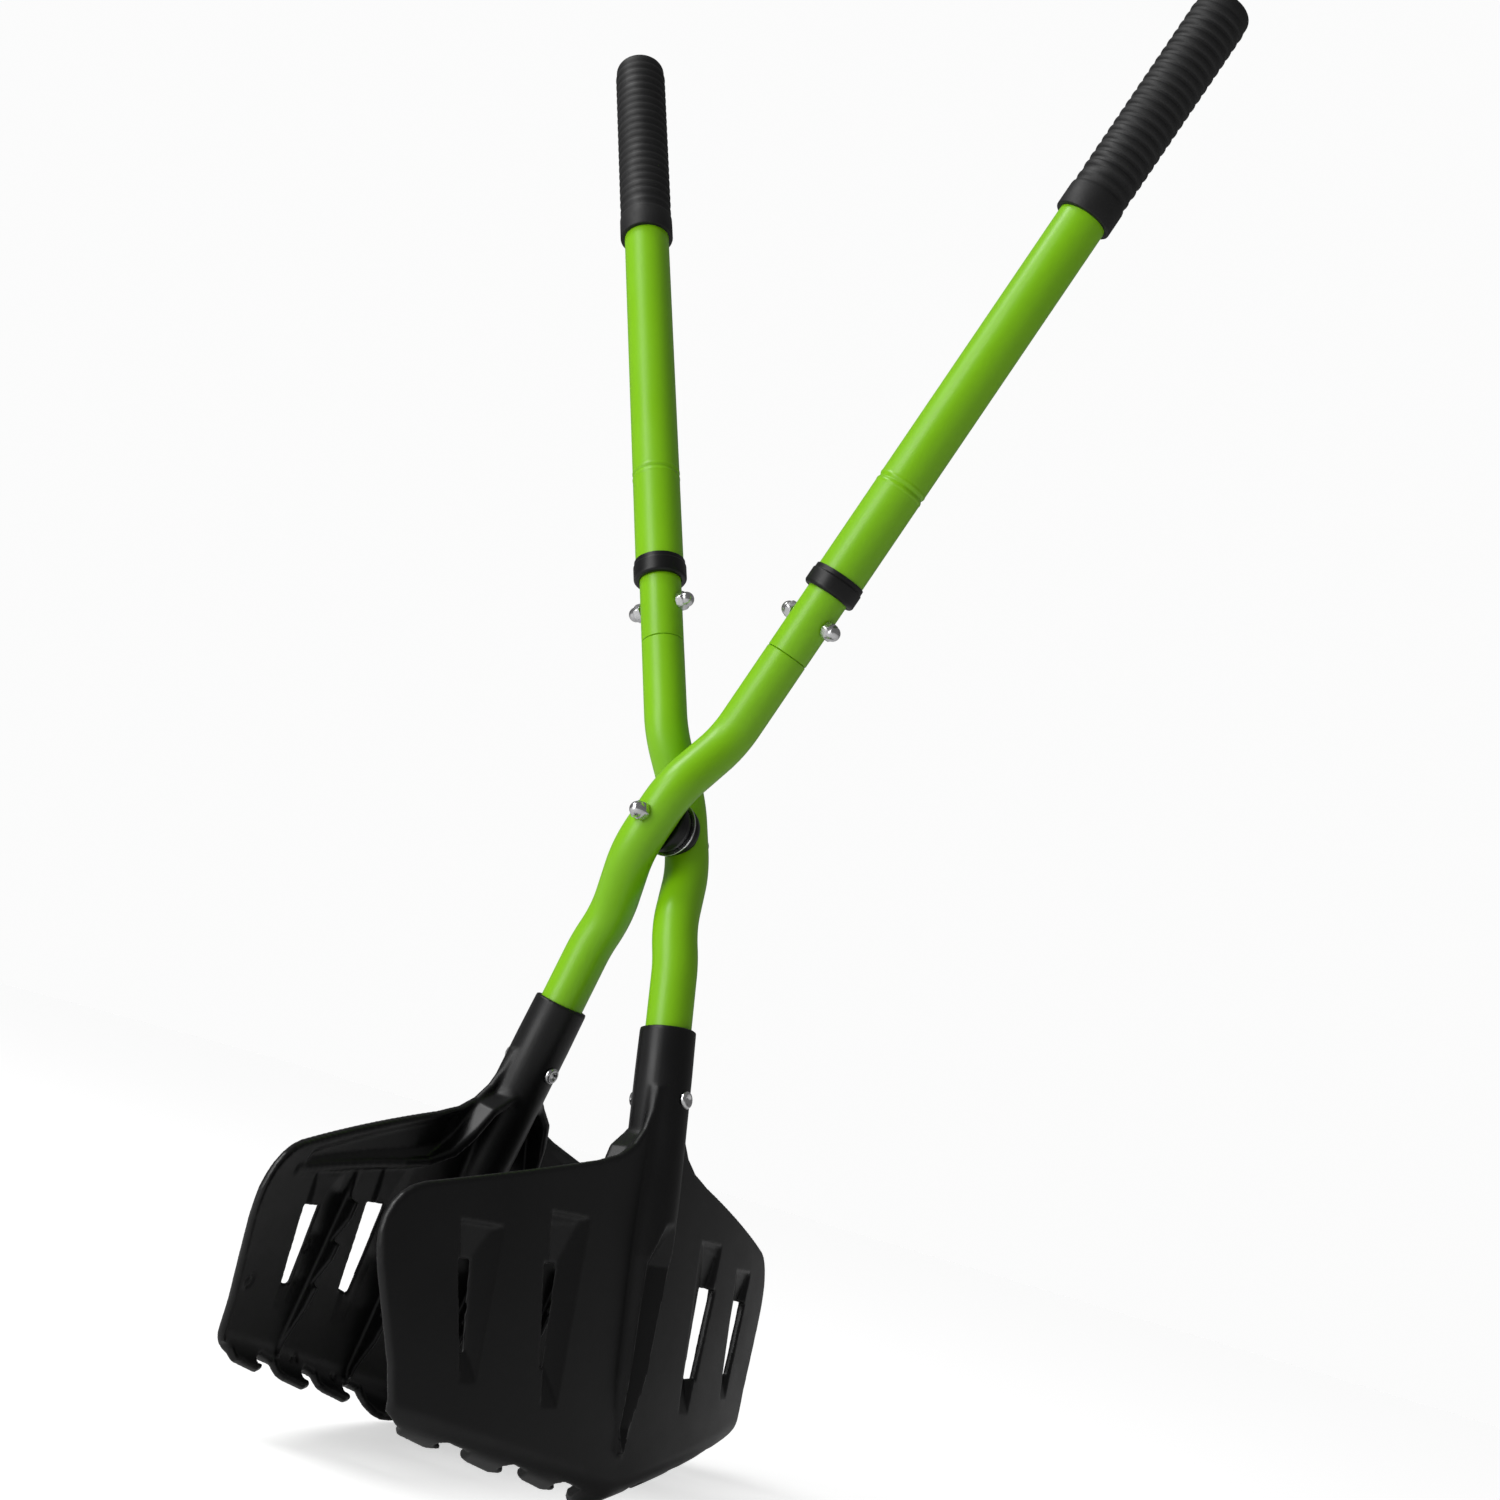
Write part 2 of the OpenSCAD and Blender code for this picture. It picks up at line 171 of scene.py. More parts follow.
def make_backdrop():
    """A world that the camera sees as white and that lights the tool only a little."""
    world = bpy.data.worlds.new("studio")
    bpy.context.scene.world = world
    world.use_nodes = True
    nodes, links = world.node_tree.nodes, world.node_tree.links
    backdrop = nodes["Background"]
    backdrop.inputs["Color"].default_value = (1, 1, 1, 1)
    backdrop.inputs["Strength"].default_value = BACKDROP_WHITE
    fill = nodes.new("ShaderNodeBackground")
    fill.inputs["Strength"].default_value = FILL_LIGHT
    path = nodes.new("ShaderNodeLightPath")
    mix = nodes.new("ShaderNodeMixShader")
    links.new(path.outputs["Is Camera Ray"], mix.inputs["Fac"])
    links.new(fill.outputs["Background"], mix.inputs[1])
    links.new(backdrop.outputs["Background"], mix.inputs[2])
    links.new(mix.outputs["Shader"], nodes["World Output"].inputs["Surface"])
    bpy.context.scene.view_settings.view_transform = "Standard"


def make_floor():
    floor_mesh = bpy.data.meshes.new("floor")
    corners = [(x * FLOOR_REACH, y * FLOOR_REACH, 0) for x, y in ((-1, -1), (1, -1), (1, 1), (-1, 1))]
    floor_mesh.from_pydata(corners, [], [(0, 1, 2, 3)])
    floor = bpy.data.objects.new("floor", floor_mesh)
    bpy.context.scene.collection.objects.link(floor)
    material = bpy.data.materials.new("floor")
    material.use_nodes = True
    nodes, links = material.node_tree.nodes, material.node_tree.links
    shader = nodes["Principled BSDF"]
    shader.inputs["Base Color"].default_value = (0.92, 0.92, 0.92, 1)
    shader.inputs["Roughness"].default_value = 0.9
    shader.inputs["Specular IOR Level"].default_value = 0.1
    shader.inputs["Emission Color"].default_value = (1, 1, 1, 1)
    path = nodes.new("ShaderNodeLightPath")
    glow = nodes.new("ShaderNodeMath")
    glow.operation = "MULTIPLY"
    glow.inputs[1].default_value = FLOOR_GLOW
    links.new(path.outputs["Is Camera Ray"], glow.inputs[0])
    links.new(glow.outputs["Value"], shader.inputs["Emission Strength"])
    floor.data.materials.append(material)


# ---------- materials ----------

def surface(name, colours, noise_scale, roughness, bumps, metallic=0.0, coat=0.0, specular=0.5):
    """A shader whose colour and roughness drift with noise, under one or more bump layers."""
    material = bpy.data.materials.new(name)
    material.use_nodes = True
    nodes, links = material.node_tree.nodes, material.node_tree.links
    shader = nodes["Principled BSDF"]
    shader.inputs["Metallic"].default_value = metallic
    shader.inputs["Coat Weight"].default_value = coat
    shader.inputs["Coat Roughness"].default_value = 0.12
    shader.inputs["Specular IOR Level"].default_value = specular
    place = nodes.new("ShaderNodeTexCoord")

    def noise(scale, detail):
        node = nodes.new("ShaderNodeTexNoise")
        node.inputs["Scale"].default_value = scale
        node.inputs["Detail"].default_value = detail
        links.new(place.outputs["Object"], node.inputs["Vector"])
        return node.outputs["Fac"]

    def spread(value, low, high):
        node = nodes.new("ShaderNodeMapRange")
        node.inputs["From Min"].default_value = 0.3
        node.inputs["From Max"].default_value = 0.7
        node.inputs["To Min"].default_value = low
        node.inputs["To Max"].default_value = high
        links.new(value, node.inputs["Value"])
        return node.outputs["Result"]

    drift = noise(noise_scale, 4)
    mix = nodes.new("ShaderNodeMix")
    mix.data_type = "RGBA"
    mix.inputs["A"].default_value = (*colours[0], 1)
    mix.inputs["B"].default_value = (*colours[1], 1)
    links.new(spread(drift, 0, 1), mix.inputs["Factor"])
    links.new(mix.outputs["Result"], shader.inputs["Base Color"])
    links.new(spread(noise(noise_scale * 2.3, 5), *roughness), shader.inputs["Roughness"])
    last = None
    for scale, detail, strength, depth in bumps:
        bump = nodes.new("ShaderNodeBump")
        bump.inputs["Strength"].default_value = strength
        bump.inputs["Distance"].default_value = depth
        links.new(noise(scale, detail), bump.inputs["Height"])
        if last:
            links.new(last, bump.inputs["Normal"])
        last = bump.outputs["Normal"]
    links.new(last, shader.inputs["Normal"])
    return material


def make_materials():
    return {
        "green_tube": surface(
            "green_tube", ((0.210, 0.520, 0.003), (0.232, 0.560, 0.004)), 9, (0.32, 0.42),
            ((260, 2, 0.08, 0.0004), (1400, 2, 0.04, 0.0001)), coat=0.05, specular=0.38),
        "black_plastic": surface(
            "black_plastic", ((0.0028, 0.0028, 0.0031), (0.0044, 0.0044, 0.0048)), 14, (0.36, 0.44),
            ((900, 4, 0.12, 0.0003), (60, 2, 0.05, 0.0008)), specular=0.36),
        "grip_rubber": surface(
            "grip_rubber", ((0.0050, 0.0050, 0.0054), (0.0085, 0.0085, 0.0090)), 30, (0.50, 0.66),
            ((1200, 4, 0.25, 0.0004),), specular=0.42),
        "bright_steel": surface(
            "bright_steel", ((0.60, 0.60, 0.61), (0.74, 0.74, 0.75)), 180, (0.16, 0.30),
            ((1500, 3, 0.06, 0.0002),), metallic=1.0),
    }


# ---------- mesh making: everything is made in millimetres ----------

def add_piece(name, places, faces, slot, body, node, sharp_angle):
    """A smooth-shaded piece at places in metres, sharp only past the angle, if one is given."""
    mesh = bpy.data.meshes.new(name)
    mesh.from_pydata(places, [], faces)
    mesh.validate()
    for polygon in mesh.polygons:
        polygon.use_smooth = True
    piece = bpy.data.objects.new(name, mesh)
    bpy.context.scene.collection.objects.link(piece)
    if sharp_angle:
        mesh.set_sharp_from_angle(angle=math.radians(sharp_angle))
    mesh.materials.append(MATERIALS[slot])
    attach(piece, body)
    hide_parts(node)


def finish_mesh(name, points, faces, matrix, slot, body, node, sharp_angle=35):
    places = [(matrix @ Vector(p)) * MM for p in points]
    add_piece(name, places, faces, slot, body, node, sharp_angle)


def ring_faces(rows, columns, closed_rows=False):
    """Quads between rows of points that each close on themselves."""
    faces = []
    for i in range(rows if closed_rows else rows - 1):
        for j in range(columns):
            k = (j + 1) % columns
            n = (i + 1) % rows
            faces.append((i * columns + j, i * columns + k, n * columns + k, n * columns + j))
    return faces


def capped_faces(rows, columns):
    """Rings between a first and a last point on the axis, closed by a fan at each."""
    faces = [tuple(i + 1 for i in f) for f in ring_faces(rows, columns)]
    start = 1 + (rows - 1) * columns
    last = 1 + rows * columns
    for j in range(columns):
        k = (j + 1) % columns
        faces.append((0, 1 + k, 1 + j))
        faces.append((last, start + j, start + k))
    return faces


def rounded(profile, radii, steps=4):
    """A closed outline with its corners cut by smooth curves."""
    points = []
    count = len(profile)
    for i, corner in enumerate(profile):
        radius = radii if isinstance(radii, (int, float)) else radii[i]
        here = Vector(corner)
        before = (Vector(profile[i - 1]) - here)
        after = (Vector(profile[(i + 1) % count]) - here)
        reach = min(radius, before.length * 0.45, after.length * 0.45)
        if reach < 0.01:
            points.append(tuple(here))
            continue
        start, end = here + before.normalized() * reach, here + after.normalized() * reach
        for k in range(steps + 1):
            s = k / steps
            points.append(tuple((1 - s) ** 2 * start + 2 * s * (1 - s) * here + s * s * end))
    return points


def lathe(outline, columns=96):
    """A closed outline of (radius, height) points turned about z."""
    points = []
    for radius, height in outline:
        for j in range(columns):
            a = 2 * math.pi * j / columns
            points.append((radius * math.cos(a), radius * math.sin(a), height))
    return points, ring_faces(len(outline), columns, closed_rows=True)


def solid_lathe(outline, columns=64):
    """An open outline that starts and ends on the axis, turned about z into a solid."""
    points = [(0, 0, outline[0][1])]
    for radius, height in outline[1:-1]:
        for j in range(columns):
            a = 2 * math.pi * j / columns
            points.append((radius * math.cos(a), radius * math.sin(a), height))
    points.append((0, 0, outline[-1][1]))
    return points, capped_faces(len(outline) - 2, columns)


# ---------- tubes ----------

class Route:
    """A route made of straight stretches and arcs, walked from a start point."""

    def __init__(self, start, heading):
        self.place = Vector(start)
        self.heading = Vector(heading).normalized()
        self.points = [self.place.copy()]

    def go(self, length, steps=3):
        for _ in range(steps):
            self.place = self.place + self.heading * (length / steps)
            self.points.append(self.place.copy())

    def bend(self, towards, radius, degrees, steps=14):
        side = Vector(towards)
        side = (side - side.dot(self.heading) * self.heading).normalized()
        start, ahead = self.place.copy(), self.heading.copy()
        for k in range(1, steps + 1):
            a = math.radians(degrees) * k / steps
            self.place = start + radius * (math.sin(a) * ahead + (1 - math.cos(a)) * side)
            self.heading = (math.cos(a) * ahead + math.sin(a) * side).normalized()
            self.points.append(self.place.copy())


def lower_route():
    """The lower tube's middle line, from the joint line down to its end in the socket."""
    up = Route((0, TUBE_OFFSET, 0), (0, 0, 1))
    up.go(PIVOT_STRAIGHT)
    up.bend((0, -1, 0), SIDE_BEND_R, SIDE_BEND)
    up.go(SIDE_STRAIGHT)
    up.bend((0, 1, 0), SIDE_BEND_R, SIDE_BEND)
    up.go(JOINT_LINE - BEND_TOP, 6)
    down = Route((0, TUBE_OFFSET, 0), (0, 0, -1))
    down.go(PIVOT_STRAIGHT)
    down.bend((0, -1, 0), SIDE_BEND_R, SIDE_BEND)
    down.go(SIDE_STRAIGHT)
    down.bend((0, 1, 0), SIDE_BEND_R, SIDE_BEND)
    down.bend((-1, 0, 0), LOWER_BEND_R, LOWER_BEND)
    down.go(TUBE_END - BEND_TANGENT, 6)
    return up.points[::-1] + down.points[1:]


def sweep_tube(route, outer, wall, columns=72):
    """A tube with chamfered rims swept along a route, outside down and inside back up."""
    edge = 0.5         # height of each rim's chamfer
    rings = []
    count = len(route)
    side = Vector((0, 1, 0))
    frames = []
    for i, p in enumerate(route):
        ahead = (route[min(i + 1, count - 1)] - route[max(i - 1, 0)]).normalized()
        side = (side - side.dot(ahead) * ahead).normalized()
        frames.append((p, ahead, side, ahead.cross(side)))
    inner = outer - wall
    start, end = frames[0], frames[-1]
    rings.append((start, 0, inner + edge))
    rings.append((start, 0, outer - edge))
    rings.append((start, edge, outer))
    rings += [(f, 0, outer) for f in frames[1:-1]]
    rings.append((end, -edge, outer))
    rings.append((end, 0, outer - edge))
    rings.append((end, 0, inner + edge))
    rings += [(f, 0, inner) for f in reversed(frames[1:-1])]
    points = []
    for (place, ahead, u, v), along, radius in rings:
        for j in range(columns):
            a = 2 * math.pi * j / columns
            points.append(place + ahead * along + radius * (math.cos(a) * u + math.sin(a) * v))
    return points, ring_faces(len(rings), columns, closed_rows=True)


def make_lower_tube(side):
    points, faces = sweep_tube(lower_route(), LOWER_D / 2, TUBE_WALL)
    name = side + "_lower_tube"
    finish_mesh(name + "_swept", points, faces, arm(side), "green_tube", side + "_arm", name)


def make_joiner_tube(side):
    top = RING_AT + 6
    outline = rounded([
        (LOWER_D / 2 - TUBE_WALL, JOINT_LINE + 0.25), (LOWER_D / 2, JOINT_LINE + 0.25),
        (LOWER_D / 2, top), (LOWER_D / 2 - TUBE_WALL, top)], (0.2, 0.7, 0.3, 0.2))
    points, faces = lathe(outline)
    name = side + "_joiner_tube"
    finish_mesh(name + "_turned", points, faces, arm(side), "green_tube", side + "_arm", name)


def make_upper_tube(side):
    radius = UPPER_D / 2
    start, end = COLLAR_AT - COLLAR_H / 2 + 3, ARM_TOP - 5
    ring = []
    # the rolled ring is a soft hollow with a slight swell on either side
    for k in range(-16, 17):
        s = k / 4
        depth = -0.55 * math.exp(-(s / 0.9) ** 2) + 0.22 * math.exp(-((abs(s) - 2.2) / 0.8) ** 2)
        ring.append((radius + depth - 0.05, RING_AT + s))
    outline = ([(radius - 0.05, start)] + ring + [(radius - 0.05, end)]
               + [(radius - TUBE_WALL, end), (radius - TUBE_WALL, start)])
    points, faces = lathe(outline)
    name = side + "_upper_tube"
    finish_mesh(name + "_turned", points, faces, arm(side), "green_tube", side + "_arm", name)


def make_collar(side):
    low = COLLAR_AT - COLLAR_H / 2
    radius = UPPER_D / 2
    outline = rounded([
        (LOWER_D / 2 + 0.1, low), (radius + 0.5, low), (radius + 1.5, low + 1.4),
        (radius + 1.5, low + COLLAR_H - 3.4), (radius + 0.9, low + COLLAR_H - 2.8),
        (radius + 0.9, low + COLLAR_H), (radius + 0.05, low + COLLAR_H),
        (radius + 0.05, low + 3), (LOWER_D / 2 + 0.1, low + 3)], 0.6)
    points, faces = lathe(outline)
    name = side + "_collar"
    finish_mesh(name + "_moulded", points, faces, arm(side), "black_plastic", side + "_arm", name)


def make_grip(side):
    """The ribbed grip: a plain bell, a bead, soft rounded ribs and a domed end."""
    base = ARM_TOP - GRIP_LENGTH
    pitch = (GRIP_LENGTH - 34) / RIB_COUNT
    core, crest = GRIP_D / 2, RIB_D / 2
    bore = UPPER_D / 2 + 0.1
    outline = [(bore, 0)]
    outline += [(crest + 0.4 - 0.8 * (1 - math.sin(a)), 0.8 * (1 - math.cos(a)))
                for a in (0, 0.5, 1.0, 1.57)]
    outline += [(crest + 0.4, 7), (crest + 0.35, 14.4), (crest + 0.1, 15.6), (core + 0.1, 16.3),
                (core, 17.4), (core + 0.1, 18.6), (crest - 0.4, 19.3), (crest - 0.1, 20.2),
                (crest - 0.1, 21.6), (crest - 0.4, 22.4), (core + 0.05, 23.2)]
    steps = 14
    for i in range(RIB_COUNT):
        for k in range(steps):
            s = k / steps
            wave = max(0.0, math.sin(math.pi * min(s / 0.70, 1.0))) ** 0.55
            outline.append((core - 0.1 + (crest - core + 0.1) * wave, 26 + (i + s) * pitch))
    flat = GRIP_LENGTH - 6
    outline.append((core, 26 + RIB_COUNT * pitch))
    outline += [(core - 6 + 6 * math.cos(a), flat + 5.9 * math.sin(a))
                for a in [math.pi / 2 * k / 8 for k in range(9)]]
    outline += [(core - 11, GRIP_LENGTH - 0.3), (2.5, GRIP_LENGTH - 0.8), (0, GRIP_LENGTH - 0.9)]
    inside = [(0, GRIP_LENGTH - 4.9), (bore, GRIP_LENGTH - 4.9)]
    rows = inside + outline
    points, faces = solid_lathe(rows, 96)
    name = side + "_grip"
    matrix = up_arm(side, base)
    finish_mesh(name + "_ribbed", points, faces, matrix, "grip_rubber", side + "_arm", name, 60)


# ---------- fasteners ----------

def dome_hex(shank, columns=72):
    """A hexagon with chamfered corners and a domed top, standing on z = 0."""
    hex_h, flat, corner = 4.6, NUT_AF / 2, NUT_AF / 2 / math.cos(math.pi / 6)
    levels = [(0.0, corner - 0.5), (0.35, corner), (3.3, corner), (4.0, flat + 0.32), (hex_h, flat - 0.35)]
    dome_r = (NUT_AF - 0.8) / 2
    dome = [(hex_h + 0.15 + dome_r * math.sin(a), dome_r * math.cos(a) - 0.05)
            for a in [math.pi / 2 * k / 9 for k in range(9)]]
    rows = [(z, r, True) for z, r in levels] + [(z, r, False) for z, r in dome]
    points = [(0, 0, 0)]
    for z, limit, is_hex in rows:
        for j in range(columns):
            a = 2 * math.pi * j / columns
            radius = limit
            if is_hex:
                off = (a + math.pi / 6) % (math.pi / 3) - math.pi / 6
                radius = min(limit, flat / math.cos(off))
            points.append((radius * math.cos(a), radius * math.sin(a), z))
    points.append((0, 0, hex_h + 0.15 + dome_r))
    faces = capped_faces(len(rows), columns)
    if shank:
        rod, rod_faces = solid_lathe([(0, -shank), (2.6, -shank), (3, -shank + 0.5), (3, 0.2), (0, 0.2)])
        faces += [tuple(i + len(points) for i in f) for f in rod_faces]
        points += rod
    return points, faces


def make_fasteners():
    reach = LOWER_D / 2
    for side in SIDES:
        for name, axis_turn, shank in (("joint_bolt", 90, LOWER_D + 5), ("joint_nut", -90, 0)):
            node = side + "_" + name
            points, faces = dome_hex(shank)
            matrix = up_arm(side, JOINT_BOLT_AT) @ turn(axis_turn, "Y") @ shift(0, 0, reach)
            finish_mesh(node + "_domed", points, faces, matrix, "bright_steel", side + "_arm", node)
    low = TUBE_OFFSET + reach
    height = shift(0, 0, PIVOT_H)
    bolt, bolt_faces = dome_hex(2 * low + 5)
    matrix = height @ turn(90, "X") @ shift(0, 0, low) @ turn(20, "Z")
    finish_mesh("pivot_bolt_domed", bolt, bolt_faces, matrix, "bright_steel", "front_arm", "pivot_bolt")
    nut, nut_faces = dome_hex(0)
    matrix = height @ turn(-90, "X") @ shift(0, 0, low + NUT_GAP) @ turn(10, "Z")
    finish_mesh("pivot_nut_domed", nut, nut_faces, matrix, "bright_steel", "front_arm", "pivot_nut")
    outline = rounded([(3.1, -WASHER_T / 2), (SADDLE_D / 2 + 1, -WASHER_T / 2),
                       (SADDLE_D / 2 + 1, WASHER_T / 2), (3.1, WASHER_T / 2)], 0.3)
    points, faces = lathe(outline)
    finish_mesh("pivot_washer_turned", points, faces, height @ turn(90, "X"), "bright_steel",
                "front_arm", "pivot_washer")


def make_scoop_rivet(side):
    """A rolled tubular rivet: a bright rim round a sunk middle at both ends."""
    reach = SOCKET_D / 2
    head = [(3.2, 0.1), (4.75, 0.1), (4.7, 0.8), (4.2, 1.6), (3.3, 2.0), (2.6, 1.7), (2.1, 0.9),
            (1.2, 0.6)]
    outline = [(0, -reach - 0.6)]
    outline += [(r, -reach - z) for r, z in reversed(head)]
    outline += [(2.5, -reach + 0.4), (2.5, reach - 0.4)]
    outline += [(r, reach + z) for r, z in head]
    outline += [(0, reach + 0.6)]
    points, faces = solid_lathe(outline, 48)
    name = side + "_scoop_rivet"
    matrix = down_arm(side) @ shift(0, 0, RIVET_AT) @ turn(90, "Y")
    finish_mesh(name + "_rolled", points, faces, matrix, "bright_steel", side + "_arm", name, 50)


# ---------- moulded pieces, as fields of distance that are negative inside ----------

def blend_min(a, b, k):
    h = np.clip(0.5 + 0.5 * (b - a) / k, 0, 1)
    return b + (a - b) * h - k * h * (1 - h)


def blend_max(a, b, k):
    return -blend_min(-a, -b, k)


def segment_distance(u, v, a, b):
    ax, ay = a
    bx, by = b[0] - ax, b[1] - ay
    h = np.clip(((u - ax) * bx + (v - ay) * by) / (bx * bx + by * by), 0, 1)
    return np.hypot(u - ax - bx * h, v - ay - by * h)


def outline_distance(u, v, points):
    """Signed distance to a closed outline, negative inside."""
    best = np.full(np.broadcast(u, v).shape, 1e9)
    inside = np.zeros(best.shape, bool)
    for i, a in enumerate(points):
        b = points[i - 1]
        best = np.minimum(best, segment_distance(u, v, a, b))
        if a[1] != b[1]:
            crossing = (a[1] > v) != (b[1] > v)
            inside ^= crossing & (u < (b[0] - a[0]) * (v - a[1]) / (b[1] - a[1]) + a[0])
    return np.where(inside, -best, best)


def line_distance(u, v, points):
    return np.minimum.reduce([segment_distance(u, v, a, b) for a, b in zip(points, points[1:])])


def mesh_of_field(field, low, step):
    """Points and faces of the surface where the field is zero."""
    volume = openvdb.FloatGrid(3.0 * step)
    volume.copyFromArray(np.clip(field, -3 * step, 3 * step).astype(np.float32))
    points, faces = volume.convertToQuads(isovalue=0.0)
    return points * step + np.array(low), faces[:, ::-1]


# ---------- the scoop ----------

# The outline is laid out on the plate unrolled: a across, s down and along the folded lip.
FOLD_TIP = 267         # the V-shaped fold line of the toothed lip, at the middle
FOLD_SLOPE = 28 / 152  # rise of the fold line towards the corners
FOLD_ANGLE = 62        # turn of the lip inwards from the plate
LIP_LENGTH = 5         # from the fold to the edge between the teeth


def low_edge(a):
    return FOLD_TIP + LIP_LENGTH - FOLD_SLOPE * a


def hook_tooth(outer, inner, depth):
    """A barbed tooth under the lower edge, with its hook towards the middle."""
    edge = low_edge(inner)
    return [(outer + 1.5, low_edge(outer)), (outer - 1, low_edge(outer) + depth * 0.7),
            (outer - 6, low_edge(outer) + depth), (inner + 4, edge + depth + 0.5),
            (inner - 2, edge + depth - 0.5), (inner - 3, edge + depth * 0.66),
            (inner + 2, edge + depth * 0.45), (inner + 2, edge + depth * 0.12),
            (inner - 1.5, edge - 0.6)]


def scoop_outline():
    right = [(15, 70), (16.5, 82), (20, 92), (27, 101), (37, 107.5), (54, 113)]
    right += [(155 + 25 * math.cos(math.radians(b)), 163 - 25 * math.sin(math.radians(b)))
              for b in range(75, -16, -15)]
    right += [(177, 178), (170, 197), (162, 218)]
    right += [(146 + 12 * math.cos(math.radians(b)), 232 - 12 * math.sin(math.radians(b)))
              for b in range(-18, -64, -15)]
    right += hook_tooth(146, 122, 6) + hook_tooth(105, 78, 9) + hook_tooth(65, 38, 9)
    tip = low_edge(0)
    right += [(23, low_edge(23)), (20.5, tip + 4), (15, tip + 9.5), (8, tip + 12), (0, tip + 12.5)]
    return right + [(-a, t) for a, t in reversed(right[:-1])]


def slot_outline(top, low, start, end, top_w, low_w):
    return [(top - top_w / 2, start), (top + top_w / 2, start),
            (low + low_w / 2, end), (low - low_w / 2, end)]


def wedge_depth(a, t, outer, inner, start, slot, end, depth):
    """Depth of a wedge pressed into the outer face: steep outside, sloped inside and on top."""
    s = np.clip((t - start) / (end - start), 0, 1)
    outer_edge = outer[0] + (outer[1] - outer[0]) * s
    inner_edge = inner[0] + (inner[1] - inner[0]) * s
    steep = np.clip((outer_edge - a) / 2.2, 0, 1)
    sloped = np.clip((a - inner_edge) / (0.6 * (outer_edge - inner_edge)), 0, 1)
    top = np.clip((t - start) / 2, 0, 1) * np.clip(0.3 + 0.7 * (t - start) / (slot - start), 0, 1)
    fade = np.clip((end - t) / 16, 0, 1)
    return depth * np.minimum(np.minimum(steep, sloped), np.minimum(top, fade))


# height of each fin along the plate: each blade starts high and sinks to a notch
OUTER_FIN = ((149, 0.0), (163, 2.6), (164, 7.8), (172, 7.8), (185, 3.8), (186, 7.8), (194, 7.5),
             (208, 3.4), (209, 6.4), (220, 5.6), (249, 0.0))
INNER_FIN = ((152, 0.0), (172, 4.5), (173, 12.0), (182, 12.0), (197, 6.0), (198, 12.0), (207, 11.5),
             (222, 6.0), (223, 10.5), (236, 9.0), (266, 0.0))
OUTER_FIN_AT = 105
INNER_FIN_AT = 36
FIN_HALF = 1.5         # half the fins' thickness at the crest
EJECTOR_MARKS = ((156, 208), (120, 190), (88, 250), (49, 260))

# outer edge and inner edge at the top and the bottom, start, where the slot starts, end, depth
WEDGES = (((84.5, 69), (55.5, 58), 141, 166, 230, 4.4),
          ((140.5, 124), (113.5, 115), 152, 170, 222, 4.2))
# middle at the top and at the bottom, start and end, width at the top and at the bottom
SLOTS = ((77, 71, 166, 212, 12, 5.5), (132, 124, 170, 209, 10, 4.5))
BAND = [(152, 149), (60, 136), (40, 130), (40, 112), (56, 118), (150, 143)]
BAND_DEPTH = 1.8
RIDGE_LINE = [(157, 152.5), (110, 147), (68, 142.5), (50, 139), (39, 131), (32, 118), (25, 104),
              (13, 95)]
RIDGE_RISE = ((13, 13.0), (25, 13.0), (32, 12.0), (39, 8.5), (50, 4.0), (68, 2.0), (110, 1.4),
              (157, 0.3))
RIDGE_HALF = 2.4
SOCKET_RADII = ((37, 15.2), (60, 15.45), (125, 15.45), (155, 14.6), (215, 9.0), (250, 2.0))
RIDGE_END = 250        # where the half-round ridge has sunk into the plate
FOLD_ROUND = 6         # rounds the fold line's vertex at the middle
GRID_START, GRID_END, GRID_STEP = 30, 330, 0.5  # places along the plate where its shapes are worked out


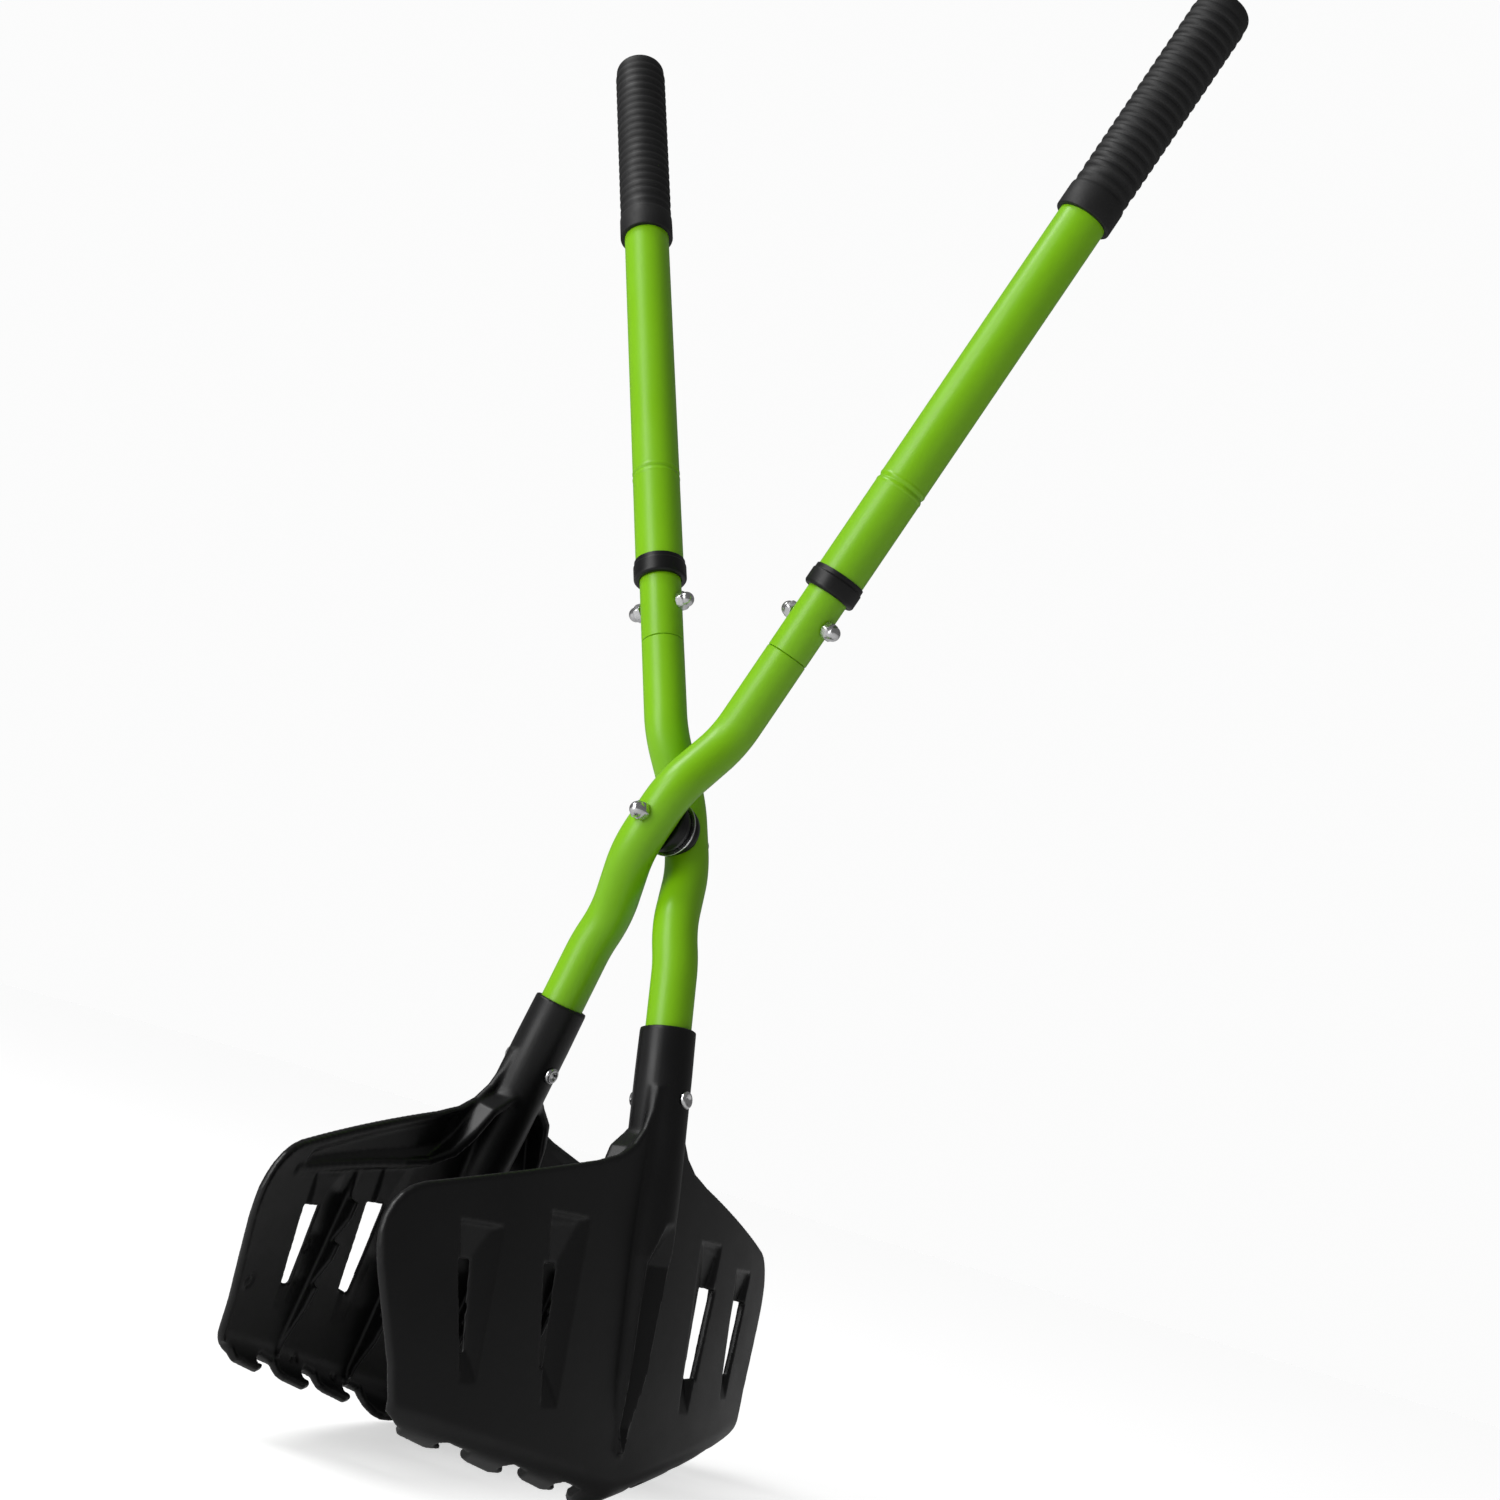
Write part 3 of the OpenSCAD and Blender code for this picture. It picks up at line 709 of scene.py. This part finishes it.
def scoop_field(x, a, t):
    """The moulding in the plate's frame: x outwards, a across from the middle, t down."""
    mid = CUP_R - PLATE_T / 2
    rho = np.hypot(x + mid, a)
    fold = math.radians(FOLD_ANGLE)
    fold_at = FOLD_TIP - FOLD_SLOPE * (np.sqrt(a * a + FOLD_ROUND ** 2) - FOLD_ROUND)
    past = (t - fold_at) * math.cos(math.atan(FOLD_SLOPE))
    from_plate = rho - mid
    from_lip = from_plate * math.cos(fold) + past * math.sin(fold)
    w = blend_max(from_plate, from_lip, 7.0)
    on_lip = fold_at + past * math.cos(fold) - from_plate * math.sin(fold)
    along = np.where(from_lip > from_plate, on_lip, t)
    across = mid * np.arctan2(a, x + mid)

    # shapes drawn on the unrolled plate are looked up by a and the way along it
    flat_a = a[0]
    steps = np.arange(GRID_START, GRID_END, GRID_STEP)[None, :]
    place = np.clip((along - GRID_START) / GRID_STEP, 0, steps.size - 2)
    cell = place.astype(np.int32)
    part = (place - cell).astype(np.float32)
    row = np.broadcast_to(np.arange(a.shape[1])[None, :, None], cell.shape)

    def on_plate(values):
        return values[row, cell] * (1 - part) + values[row, cell + 1] * part

    # plate, with the wedges sunk in its outer face and a band sunk above the inner ridge
    depth = on_plate(np.maximum.reduce([wedge_depth(flat_a, steps, *wedge) for wedge in WEDGES]))
    sunk = BAND_DEPTH * np.clip(0.5 - outline_distance(flat_a, steps, BAND) / 4, 0, 1)
    for mark in EJECTOR_MARKS:
        rim = np.abs(np.hypot(flat_a - mark[0], steps - mark[1]) - 2.8) - 0.6
        sunk = np.maximum(sunk, 0.8 * np.clip(0.5 - rim, 0, 1))
    sunk = on_plate(sunk)
    backing = np.clip(depth * 0.3, 0, 1.0)
    plate = np.maximum(w - PLATE_T / 2 + depth, -w - PLATE_T / 2 + sunk - backing)
    plate = blend_max(plate, on_plate(outline_distance(flat_a, steps, scoop_outline())), 1.8)
    for slot in SLOTS:
        opening = outline_distance(flat_a, steps, slot_outline(*slot)) - 0.4
        plate = blend_max(plate, -on_plate(opening), 1.0)

    # saw-edged fins on the inner face
    solid = plate
    for fin_at, heights in ((OUTER_FIN_AT, OUTER_FIN), (INNER_FIN_AT, INNER_FIN)):
        places, values = zip(*heights)
        height = np.interp(along, places, values)
        tip = -w - PLATE_T / 2 - height
        fin = blend_max(np.abs(across - fin_at) - FIN_HALF - 0.03 * tip, tip, 1.0)
        fin = np.maximum(fin, w)
        fin = np.maximum(fin, np.maximum(places[0] - along, along - places[-1]))
        solid = blend_min(solid, fin, 1.6)

    # ridge across the inner face that rises into an arched flange beside the socket
    rise = np.interp(flat_a, *zip(*RIDGE_RISE))
    flange = on_plate(line_distance(flat_a, steps, RIDGE_LINE)) - RIDGE_HALF
    ridge = blend_max(flange, -w - PLATE_T / 2 - rise[None], 1.6)
    solid = blend_min(solid, np.maximum(ridge, w), 1.4)

    # socket and the half-round ridge that carries it down the plate
    tilt = math.radians(PLATE_TILT)
    s = (x + PLATE_SHIFT) * math.sin(tilt) + t * math.cos(tilt)
    r = np.hypot((x + PLATE_SHIFT) * math.cos(tilt) - t * math.sin(tilt), a)
    radius = np.interp(s, *zip(*SOCKET_RADII))
    socket = blend_max(r - radius, SOCKET_TOP - s, 1.2)
    socket = np.maximum(socket, s - RIDGE_END)
    solid = blend_min(solid, socket, 3.2)

    # wedge cut into the ridge, with a sloped end under the socket
    half = np.interp(t, (158, 240), (3.6, 1.2))
    cut = (0.2 + 1.25 * np.maximum(a - half, 0) + 0.62 * np.maximum(158 - t, 0)
           + 0.4 * np.maximum(t - 238, 0))
    solid = blend_max(solid, (w - cut) / 1.5, 1.0)
    slit = np.maximum(np.maximum(a - np.interp(t, (160, 232), (2.4, 0.9)), 160 - t), t - 232)
    solid = blend_max(solid, -np.maximum(slit, -w - 3.5), 0.8)

    bore = np.maximum(r - (LOWER_D / 2 + 0.05), s - TUBE_END)
    return blend_max(solid, -bore, 0.6)


def scoop_points(step=1.0):
    low = (-52, 0, 34)
    high = (22, 187, 279)
    axes = [np.arange(lo, hi, step, dtype=np.float32) for lo, hi in zip(low, high)]
    x, a, t = axes[0][:, None, None], axes[1][None, :, None], axes[2][None, None, :]
    field = scoop_field(x, a, t)
    field = np.concatenate([field[:, :0:-1, :], field], axis=1)
    start = (low[0], -axes[1][-1], low[2])
    return mesh_of_field(field, start, step)


def make_scoops():
    points, faces = scoop_points()
    in_arm = turn(-PLATE_TILT, "Y") @ shift(PLATE_SHIFT, 0, 0)
    for side in SIDES:
        name = side + "_scoop"
        matrix = np.array(down_arm(side) @ in_arm)
        placed = (points @ matrix[:3, :3].T + matrix[:3, 3]) * MM
        add_piece(name + "_moulded", placed.tolist(), faces.tolist(), "black_plastic",
                  side + "_arm", name, 0)


# ---------- saddles ----------

def make_saddles():
    """The dished saddle between each tube and the washer, drawn with the washer's face at z = 0."""
    step = 0.45
    low, high = (-17, -17, -1), (17, 17, 12)
    x, y, z = [np.arange(lo, hi, step, dtype=np.float32) for lo, hi in zip(low, high)]
    x, y, z = x[:, None, None], y[None, :, None], z[None, None, :]
    radius = np.interp(z, (0, 1.2, 5, 8, 9.5), (14.0, 14.4, 15.4, 14.6, 13.2))
    body = blend_max(np.hypot(x, y) - radius, np.maximum(0.1 - z, z - 9.4), 1.6)
    tube = np.hypot(x, z + WASHER_T / 2 - TUBE_OFFSET) - (LOWER_D / 2 + 0.5)
    bore = np.hypot(x, y) - 3.1
    field = blend_max(blend_max(body, -tube, 1.0), -bore, 0.5)
    points, faces = mesh_of_field(field, low, step)
    for side in SIDES:
        matrix = arm(side) @ shift(0, WASHER_T / 2, 0) @ turn(-90, "X")
        name = side + "_saddle"
        finish_mesh(name + "_moulded", points.tolist(), faces.tolist(), matrix, "black_plastic",
                    side + "_arm", name, 0)


make_camera()
MATERIALS = make_materials()
make_backdrop()
make_lights()
make_floor()
for arm_side in SIDES:
    make_lower_tube(arm_side)
    make_joiner_tube(arm_side)
    make_upper_tube(arm_side)
    make_collar(arm_side)
    make_grip(arm_side)
    make_scoop_rivet(arm_side)
make_fasteners()
make_saddles()
make_scoops()
